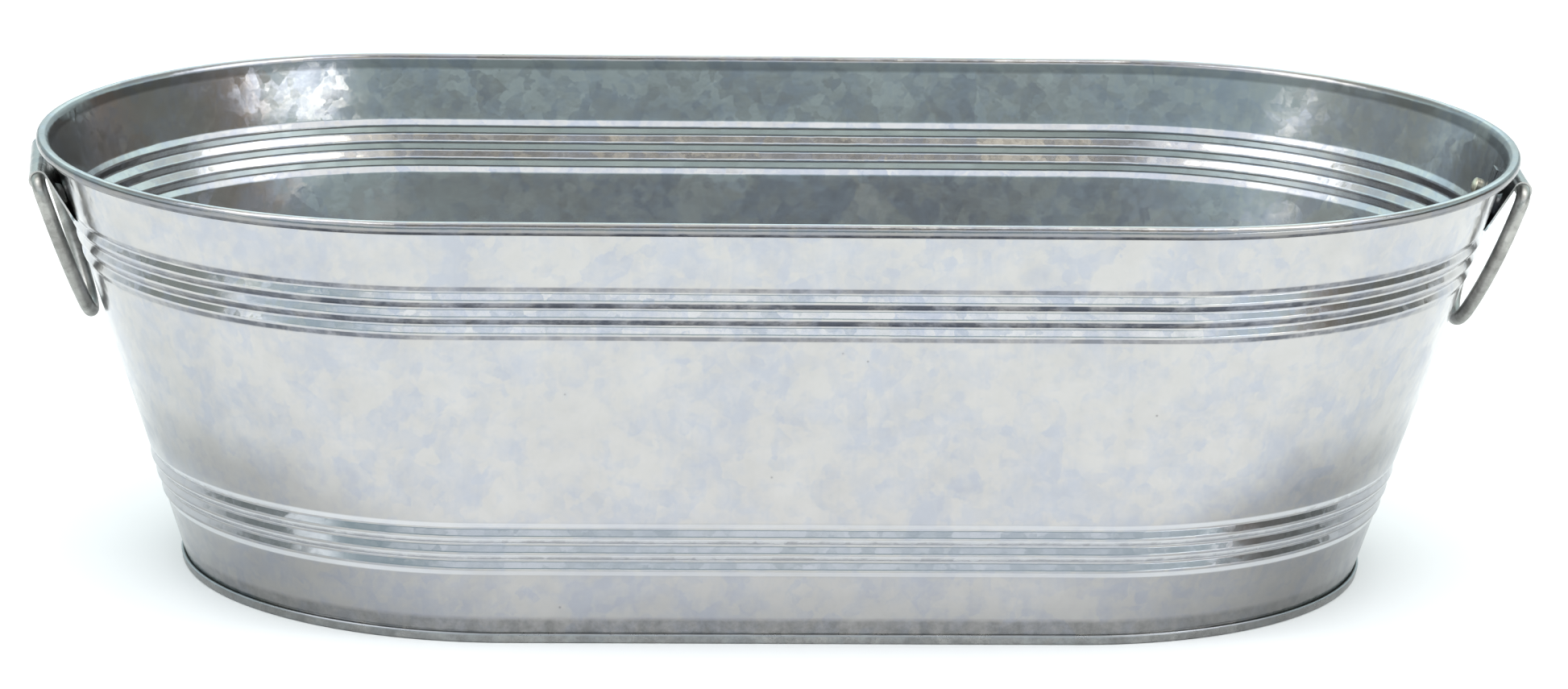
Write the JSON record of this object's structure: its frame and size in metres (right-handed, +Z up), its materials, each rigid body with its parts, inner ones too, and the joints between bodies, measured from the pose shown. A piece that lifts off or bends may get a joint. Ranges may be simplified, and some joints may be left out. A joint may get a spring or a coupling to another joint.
{
  "type": "livestock water trough",
  "caption": "Oval galvanised sheet trough with a wired rolled rim, swaged bead bands, a double seamed raised bottom and a riveted lug with a swinging wire drop handle at each end.",
  "frame": {"origin": "centre of the footprint on the floor, under the middle of the trough", "axes": "+X along the length, +Y across the width, +Z up"},
  "size_m": [0.6144, 0.3072, 0.1789],
  "materials": {
    "sheet": "bright hot dip galvanised sheet, soft mottled grey",
    "bottom": "dull galvanised sheet",
    "rim_wire": "plain steel wire inside the rolled rim",
    "lug": "galvanised pressed sheet",
    "handle": "dull galvanised round wire",
    "rivet": "tinned rivet, slightly yellow"
  },
  "bodies": {
    "tub": {"wall_front": "sheet", "wall_back": "sheet", "rim_wire": "rim_wire", "bottom_pan": "bottom", "lug_left": "lug", "lug_right": "lug", "rivet_left_front": "rivet", "rivet_left_back": "rivet", "rivet_right_front": "rivet", "rivet_right_back": "rivet"},
    "left_handle": {"handle_left": "handle"},
    "right_handle": {"handle_right": "handle"}
  },
  "joints": [
    {"name": "left_handle_swing", "type": "hinge", "parent": "tub", "child": "left_handle", "pos_m": [-0.3033, 0, 0.1655], "axis": [0, 1, 0], "range_deg": [0, 190]},
    {"name": "right_handle_swing", "type": "hinge", "parent": "tub", "child": "right_handle", "pos_m": [0.3033, 0, 0.1655], "axis": [0, -1, 0], "range_deg": [0, 190]}
  ]
}
